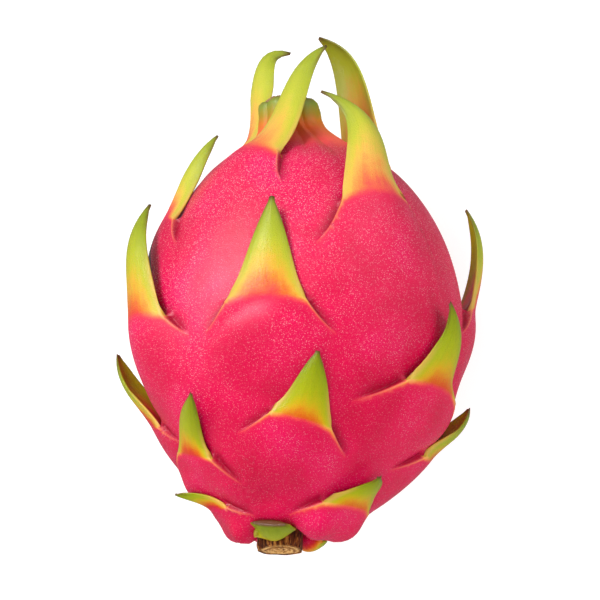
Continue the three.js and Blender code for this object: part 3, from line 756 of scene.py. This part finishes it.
def makeSkinMaterial():
    material, tree = newMaterial("pitayaPeel")
    place = addNode(tree, "TexCoord", output="Object")
    marks = {name: addNode(tree, "Attribute", {"attribute_name": name}, output="Fac")
             for name in ("tone", "rim", "hollowShade", "inner", "dry", "height", "bruise", "wrinkle",
                          "across", "along", "number", "deep")}

    # noise: broad clouds, patches, fine grains, and streaks that run lengthwise
    lengthwise = addNode(tree, "Mapping", {}, {"Scale": (1, 0.12, 1)}, {"Vector": place})
    cloud, patches, grains, streaks = (
        addNode(tree, "TexNoise", {}, {"Scale": 1 / (peel[name] * mm), "Detail": detail}, {"Vector": vector})
        for name, detail, vector in (("cloudSize", 3, place), ("patchSize", 4, place),
                                     ("grainSize", 1, place), ("streakSize", 3, lengthwise)))
    dots = addNode(tree, "TexVoronoi", {}, {"Scale": 1 / (peel["dotSpacing"] * mm)}, {"Vector": place})
    dotMask = addNode(tree, "MapRange", smooth, span(*peel["dotMask"]), {"Value": dots})
    onBlade = addNode(tree, "CombineXYZ", {}, {},
                      {"X": marks["across"], "Y": marks["along"], "Z": marks["number"]})
    onBlade = addNode(tree, "Mapping", {}, {"Scale": peel["veinScale"]}, {"Vector": onBlade})
    veins = addNode(tree, "TexNoise", {}, {"Scale": 1.0, "Detail": 4, "Roughness": 0.6}, {"Vector": onBlade})

    # pink rind with fine pale grains, partly the rind's own specks and partly painted glints; they lie closer
    # towards the lit crown as a painted highlight
    pinks = addNode(tree, "ValToRGB", {}, {}, {"Fac": cloud}, peel["pinks"])
    grainSum = addNode(tree, "Math", scaleAdd, {1: 0.5}, {0: dotMask, 2: grains})
    grainAndGlintMask = addNode(tree, "MapRange", {}, span(*peel["grainAndGlintMask"]), {"Value": grainSum})
    glintsCrownwards = addNode(tree, "Math", scaleAdd, {1: peel["glintsCrownwards"]}, {0: marks["height"], 2: cloud})
    density = addNode(tree, "MapRange", {}, span(*peel["density"]), {"Value": glintsCrownwards})
    grainAndGlintMask = addNode(tree, "Math", multiply, {}, {0: grainAndGlintMask, 1: density})
    pink = addNode(tree, "Mix", rgba, {7: linearColour(peel["grainAndGlint"])}, {0: grainAndGlintMask, 6: pinks}, output=2)

    # the bracts' colours along their length, stirred by veins, patches and grains
    veinLevel = addNode(tree, "Math", {"operation": "SUBTRACT"}, {1: 0.5}, {0: veins})
    veinMask = addNode(tree, "MapRange", {}, span(*peel["veinMask"]), {"Value": marks["along"]})
    veinPart = addNode(tree, "Math", multiply, {}, {0: veinLevel, 1: veinMask})
    stirred = addNode(tree, "Math", add, {}, {0: marks["tone"], 1: veinPart})
    for source, amount in ((patches, peel["patchAmount"]), (grains, peel["grainStir"])):
        part = addNode(tree, "Math", scaleAdd, {1: amount, 2: -amount / 2}, {0: source})
        stirred = addNode(tree, "Math", add, {}, {0: stirred, 1: part})
    leaf = addNode(tree, "ValToRGB", {}, {}, {"Fac": stirred}, peel["ramp"])
    leaf = addNode(tree, "Mix", {**rgba, "blend_type": "MULTIPLY"}, {7: peel["lower"]},
                   {0: marks["deep"], 6: leaf}, output=2)
    leafMask = addNode(tree, "MapRange", smooth, span(*peel["leafMask"]), {"Value": stirred})

    # the neck of fused bract bases turns red, orange and olive up to its dry rim
    amount = peel["neckStreaks"]
    neckPart = addNode(tree, "Math", scaleAdd, {1: amount, 2: -amount / 2}, {0: streaks})
    neckHeight = addNode(tree, "Math", add, {}, {0: marks["height"], 1: neckPart})
    neckTone = addNode(tree, "MapRange", {}, span(*peel["neckHeights"]), {"Value": neckHeight})
    neckRamp = addNode(tree, "ValToRGB", {}, {}, {"Fac": neckTone}, peel["neck"])
    neckMask = addNode(tree, "MapRange", smooth, span(*peel["neckMask"]), {"Value": neckTone})
    offBlade = addNode(tree, "Math", {"operation": "LESS_THAN"}, {1: 0.001}, {0: marks["along"]})
    neckMask = addNode(tree, "Math", multiply, {}, {0: neckMask, 1: offBlade})

    # the inner faces of the bracts
    insides = addNode(tree, "ValToRGB", {}, {}, {"Fac": stirred}, peel["insides"])
    innerMask = addNode(tree, "MapRange", {}, span(*peel["insideMask"]), {"Value": marks["inner"]})

    # pale margins, painted shade in the hollows, and a bruise
    rimMask = addNode(tree, "Math", multiply, {1: peel["rimAmount"]}, {0: marks["rim"]})
    hollowShadeMask = addNode(tree, "Math", multiply, {1: peel["hollowShadeAmount"]}, {0: marks["hollowShade"]})
    amount = peel["bruiseStreaks"]
    bruisePart = addNode(tree, "Math", scaleAdd, {1: amount, 2: -amount / 2}, {0: streaks})
    bruiseSum = addNode(tree, "Math", add, {}, {0: marks["bruise"], 1: bruisePart})
    bruiseMask = addNode(tree, "MapRange", {}, span(*peel["bruiseMask"]), {"Value": bruiseSum})

    # each colour lies over the one before
    colour = pink
    for mask, over in ((leafMask, leaf), (neckMask, neckRamp), (innerMask, insides)):
        colour = addNode(tree, "Mix", rgba, {}, {0: mask, 6: colour, 7: over}, output=2)
    masks = {"rim": rimMask, "hollowShade": hollowShadeMask, "bruise": bruiseMask, "dry": marks["dry"]}
    for name, mask in masks.items():
        colour = addNode(tree, "Mix", rgba, {7: linearColour(peel[name])}, {0: mask, 6: colour}, output=2)

    # relief too fine for the mesh: grains, veins of the bracts, and wrinkles by the stem
    wrinkleHeight = addNode(tree, "Math", multiply, {}, {0: streaks, 1: marks["wrinkle"]})
    normal = {}
    for strength, depth, height in ((1.0, peel["grainRelief"], grainSum), (0.4, peel["veinRelief"], veinPart),
                                    (0.6, peel["wrinkleRelief"], wrinkleHeight)):
        bump = addNode(tree, "Bump", {}, {"Strength": strength, "Distance": depth * mm},
                       {"Height": height, **normal})
        normal = {"Normal": bump}
    bsdf = addNode(tree, "BsdfPrincipled", {},
                   {"Roughness": peel["roughness"], "Specular IOR Level": peel["specular"],
                    "Subsurface Weight": peel["glow"], "Subsurface Scale": peel["glowDepth"] * mm},
                   {"Base Color": colour, **normal})
    addNode(tree, "OutputMaterial", {}, {}, {"Surface": bsdf})
    return material


# a cut stub with cracked bark and growth rings on its cut face
stem = {
    "radius": 6.2, "top": -49, "cut": -61.5, "slant": 0.5, "x": -5.4,   # mm, and degrees
    "columns": 120, "faceRings": 26, "sideRows": 30,
    "barkDepth": 0.35, "ribs": 7, "ribStretch": 2.2, "ribHeight": 0.28, "ribSunk": 0.12,
    "edgeRound": 0.35, "edgeShare": 0.1,
    "rings": 26, "ringHeight": 0.16, "ringWave": 1.5,
    "collar": 0.62, "collarWidth": 0.1, "collarHeight": 0.45,   # a raised ring half way out on the cut face
    "grit": 0.12, "gritScale": 2.2, "faceSunk": 0.35, "faceEdge": 0.08,
    "bark": [(0.4, "#2a1004"), (0.52, "#6c340e"), (0.65, "#c0843a")],
    "wood": [(0.2, "#5e3010"), (0.45, "#b87c38"), (0.75, "#ecbc74")],
    "ribSize": 0.9, "gritSize": 0.6, "roughness": 0.8,
}


def makeStem():
    bm = bmesh.new()
    layers = bm.verts.layers.float
    for name in ("ring", "face"):
        layers.new(name)
    rings, sides = stem["faceRings"], stem["sideRows"]
    rows = [(i / rings, 1.0) for i in range(rings + 1)]
    rows += [(1.0, 1 - i / sides) for i in range(1, sides + 1)]
    rows += [(0.5, 0.0), (0.0, 0.0)]
    outline = [(out * stem["radius"], 0, out, down) for out, down in rows]
    turnOutline(bm, outline, stem["columns"], ["ring", "face"])
    for v in bm.verts:
        out, down = v[layers["ring"]], v[layers["face"]]
        onSide, onFace = out > 0.999, down > 0.999
        angle = math.atan2(v.co.x, v.co.z) if out > 0 else 0
        s, c = math.sin(angle), math.cos(angle)
        bark = 1 + stem["barkDepth"] / stem["radius"] * (math.sin(angle * 3 + 1) + 0.6 * math.sin(angle * 7))
        radius = out * stem["radius"] * bark
        if onSide and down > 0 and not onFace:
            place = Vector((s * stem["ribs"], down * stem["ribStretch"], c * stem["ribs"]))
            radius += stem["ribHeight"] * noise.fractal(place, 1.0, 2.0, 4) - stem["ribSunk"]
        radius -= stem["edgeRound"] * max(0, down - (1 - stem["edgeShare"])) / stem["edgeShare"] * onSide
        lift = 0
        if onFace:
            wave = noise.fractal(Vector((s * 2 * out, 3.0, c * 2 * out)), 1.0, 2.0, 3)
            rings = stem["ringHeight"] * math.sin(out * stem["rings"] + wave * stem["ringWave"])
            rings += stem["collarHeight"] * float(bell(out, stem["collar"], stem["collarWidth"]))
            scale = stem["gritScale"]
            grit = stem["grit"] * noise.noise(Vector((v.co.x * scale, 0, v.co.z * scale)))
            edge = max(0, out - (1 - stem["faceEdge"])) / stem["faceEdge"]
            lift = (rings + grit - stem["faceSunk"]) * (1 - edge)
        y = mix(stem["top"], stem["cut"], down)
        y -= down * c * radius * math.tan(math.radians(stem["slant"])) + lift * down
        v.co = (s * radius + stem["x"], y, c * radius)
    closeSurface(bm, shortest=0.0002)
    bmesh.ops.translate(bm, verts=bm.verts[:], vec=fromFruit())
    finishPiece(bm, "stemStub", makeWoodMaterial(), "stem_stub")


# Cactus wood with corky bark: dry and matt, dark ribs outside and pale rings on the cut.
def makeWoodMaterial():
    material, tree = newMaterial("cactusWood")
    place = addNode(tree, "TexCoord", output="Object")
    ring = addNode(tree, "Attribute", {"attribute_name": "ring"}, output="Fac")
    face = addNode(tree, "Attribute", {"attribute_name": "face"}, output="Fac")
    lengthwise = addNode(tree, "Mapping", {}, {"Scale": (1, 0.25, 1)}, {"Vector": place})
    ribs = addNode(tree, "TexNoise", {},
                   {"Scale": 1 / (stem["ribSize"] * mm), "Detail": 4, "Roughness": 0.65},
                   {"Vector": lengthwise})
    grit = addNode(tree, "TexNoise", {}, {"Scale": 1 / (stem["gritSize"] * mm), "Detail": 4},
                   {"Vector": place})
    bark = addNode(tree, "ValToRGB", {}, {}, {"Fac": ribs}, stem["bark"])
    turned = addNode(tree, "Math", scaleAdd, {1: stem["rings"]}, {0: ring, 2: grit})
    wave = addNode(tree, "Math", {"operation": "SINE"}, {}, {0: turned})
    level = addNode(tree, "Math", scaleAdd, {1: 0.18}, {0: wave, 2: grit})
    wood = addNode(tree, "ValToRGB", {}, {}, {"Fac": level}, stem["wood"])
    cut = addNode(tree, "Math", {"operation": "GREATER_THAN"}, {1: 0.97}, {0: face})
    inner = addNode(tree, "MapRange", {}, span(1, 0.9), {"Value": ring})
    onFace = addNode(tree, "Math", multiply, {}, {0: cut, 1: inner})
    colour = addNode(tree, "Mix", rgba, {}, {0: onFace, 6: bark, 7: wood}, output=2)
    bump = addNode(tree, "Bump", {}, {"Strength": 0.7, "Distance": 0.3 * mm}, {"Height": ribs})
    bsdf = addNode(tree, "BsdfPrincipled", {}, {"Roughness": stem["roughness"]},
                   {"Base Color": colour, "Normal": bump})
    addNode(tree, "OutputMaterial", {}, {}, {"Surface": bsdf})
    return material


# the dried remnant of the flower: a shrivelled rim round a sunken, fibrous middle
scar = {
    "radius": 6.9, "rim": 69.3, "dish": 67, "bottom": 65.8,   # mm
    "columns": 120, "rowsPerEdge": 5,
    "fibres": 9, "fibreStretch": 0.5, "fibreHeight": 0.35, "sunk": 0.25, "shrunk": 0.2,
    "fibreSize": 0.8,
    "colours": [(0.25, "#3c2412"), (0.5, "#8c6238"), (0.75, "#c9a273")],
    "roughness": 0.85,
}


def makeScar():
    bm = bmesh.new()
    r, rim, rows = scar["radius"], scar["rim"], scar["rowsPerEdge"]
    corners = [(0, scar["bottom"]), (r, scar["bottom"]), (r, rim - 0.6), (r - 0.8, rim), (r - 2, rim - 0.9),
               (2.6, scar["dish"]), (0, scar["dish"] + 0.4)]
    outline = [[mix(a, b, k / rows) for a, b in zip(corner, after)]
               for corner, after in zip(corners, corners[1:]) for k in range(rows)] + [corners[-1]]
    turnOutline(bm, outline, scar["columns"])
    for v in bm.verts:
        out = math.hypot(v.co.x, v.co.z)
        if v.co.y > scar["bottom"] + 0.3 and out > 0.5:
            angle = math.atan2(v.co.x, v.co.z)
            s, c = math.sin(angle), math.cos(angle)
            place = Vector((s * scar["fibres"], out * scar["fibreStretch"], c * scar["fibres"]))
            fibre = noise.fractal(place, 1.0, 2.0, 4)
            v.co.y -= scar["sunk"] + scar["fibreHeight"] * fibre
            v.co.x -= s * scar["shrunk"] * abs(fibre)
            v.co.z -= c * scar["shrunk"] * abs(fibre)
        v.co.x += float(axisShift(rim))
    closeSurface(bm)
    bmesh.ops.translate(bm, verts=bm.verts[:], vec=fromFruit())
    finishPiece(bm, "flowerScar", makeScarMaterial(), "flower_scar")


# Dried flower tissue: papery and matt, with dark and tan fibres.
def makeScarMaterial():
    material, tree = newMaterial("driedFlower")
    place = addNode(tree, "TexCoord", output="Object")
    fibres = addNode(tree, "TexNoise", {},
                     {"Scale": 1 / (scar["fibreSize"] * mm), "Detail": 5, "Roughness": 0.7},
                     {"Vector": place})
    colour = addNode(tree, "ValToRGB", {}, {}, {"Fac": fibres}, scar["colours"])
    bump = addNode(tree, "Bump", {}, {"Strength": 0.7, "Distance": 0.3 * mm}, {"Height": fibres})
    bsdf = addNode(tree, "BsdfPrincipled", {}, {"Roughness": scar["roughness"]},
                   {"Base Color": colour, "Normal": bump})
    addNode(tree, "OutputMaterial", {}, {}, {"Surface": bsdf})
    return material


makeFruit()
makeStem()
makeScar()


stage = {
    "floor": "#b0b0b0", "size": 6.0, "glow": 0.75, "around": 0.22,
    "lights": [   # name, place and size in metres, power in watts, seen in the gloss, lights the colours
        ("keyLight", (-0.78, 0.62, 0.92), 0.55, 14.5, True, True),
        ("sideLight", (1.0, 0.15, 0.6), 0.7, 5.5, False, True),
        ("topLight", (-0.3, -0.65, 1.45), 1.2, 16.3, False, True),
        ("leftSoftbox", (-1.4, 0.5, 0.75), 0.8, 13, True, False),
        ("rightSoftbox", (0.7, 1.0, 0.85), 0.7, 5, True, False)],
}


def makeStage():
    bm = bmesh.new()
    bmesh.ops.create_grid(bm, x_segments=1, y_segments=1, size=stage["size"] / 2)
    material, tree = newMaterial("paleFloor")
    bsdf = addNode(tree, "BsdfPrincipled", {},
                   {"Base Color": linearColour(stage["floor"]), "Roughness": 0.8, "Specular IOR Level": 0.1,
                    "Emission Color": (1, 1, 1, 1), "Emission Strength": stage["glow"]})
    addNode(tree, "OutputMaterial", {}, {}, {"Surface": bsdf})
    floor = addObject(bm, "floor", material)
    floor.visible_glossy = False   # its white in the gloss would wash the skin out

    world = bpy.data.worlds.new("studio")
    bpy.context.scene.world = world
    world.use_nodes = True
    background = world.node_tree.nodes["Background"]
    background.inputs["Color"].default_value = (1, 1, 1, 1)
    background.inputs["Strength"].default_value = stage["around"]
    for name, place, size, power, inGloss, inColours in stage["lights"]:
        data = bpy.data.lights.new(name, "AREA")
        data.shape = "SQUARE"
        data.size = size
        data.energy = power
        light = bpy.data.objects.new(name, data)
        light.location = place
        light.visible_glossy = inGloss
        light.visible_diffuse = inColours
        light.rotation_euler = Vector(place).to_track_quat("Z", "Y").to_euler()
        bpy.context.scene.collection.objects.link(light)
    print("stage set:", len(stage["lights"]), "lights")


camera = {"target": (-0.324, -4.985, 44.1), "distance": 1300, "elevation": 74, "lens": 278.6, "sensor": 36}


def makeCamera():
    data = bpy.data.cameras.new("camera")
    data.lens = camera["lens"]
    data.sensor_width = camera["sensor"]
    data.clip_end = 20
    lift = math.radians(camera["elevation"])
    back = Vector((0, -math.cos(lift), math.sin(lift)))
    view = bpy.data.objects.new("camera", data)
    view.location = (Vector(camera["target"]) + back * camera["distance"]) * mm
    view.rotation_euler = (math.radians(90) - lift, 0, 0)
    bpy.context.scene.collection.objects.link(view)
    bpy.context.scene.camera = view
    print("camera set")


makeStage()
makeCamera()
bpy.context.scene.view_settings.view_transform = "Standard"
